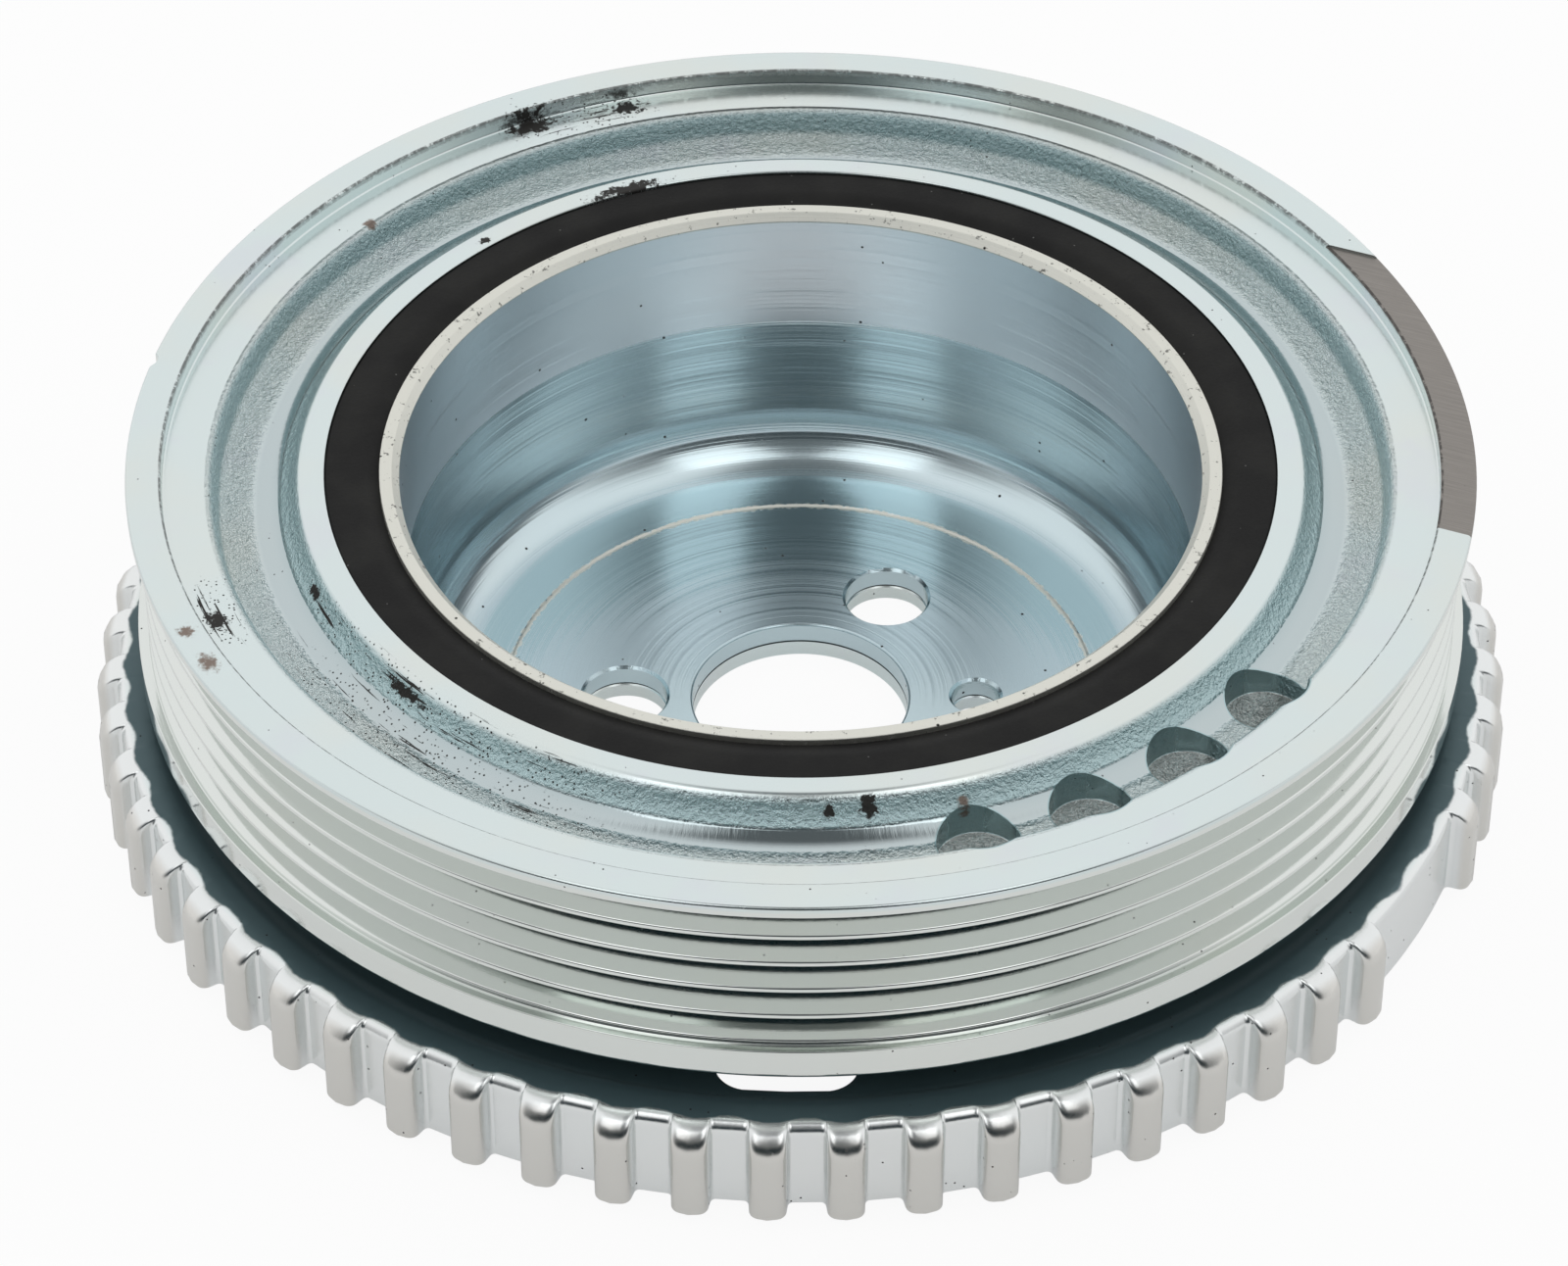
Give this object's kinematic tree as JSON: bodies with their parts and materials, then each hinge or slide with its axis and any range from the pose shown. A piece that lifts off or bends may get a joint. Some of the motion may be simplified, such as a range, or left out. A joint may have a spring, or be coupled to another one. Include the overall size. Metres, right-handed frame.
{
  "type": "harmonic balancer",
  "caption": "Crankshaft harmonic balancer: drawn hub cup, bonded rubber ring, belt-grooved inertia ring with balance drillings, and a toothed tone wheel below.",
  "frame": {"origin": "on the axis, on the rear face that seats on the crankshaft", "axes": "+Z along the axis towards the free end of the crankshaft; +X through the dowel hole"},
  "size_m": [0.1518, 0.1518, 0.0397],
  "materials": {
    "hub_steel": "zinc plated, satin, with a faint blue tint",
    "damping_rubber": "matt black with fine specks",
    "ring_iron": "zinc plated over turned faces and rough cast walls",
    "sheet_steel": "zinc plated pressed sheet, satin"
  },
  "bodies": {
    "root": {"hub": "hub_steel", "rubber_ring": "damping_rubber", "inertia_ring": "ring_iron", "tone_wheel": "sheet_steel"}
  },
  "joints": []
}
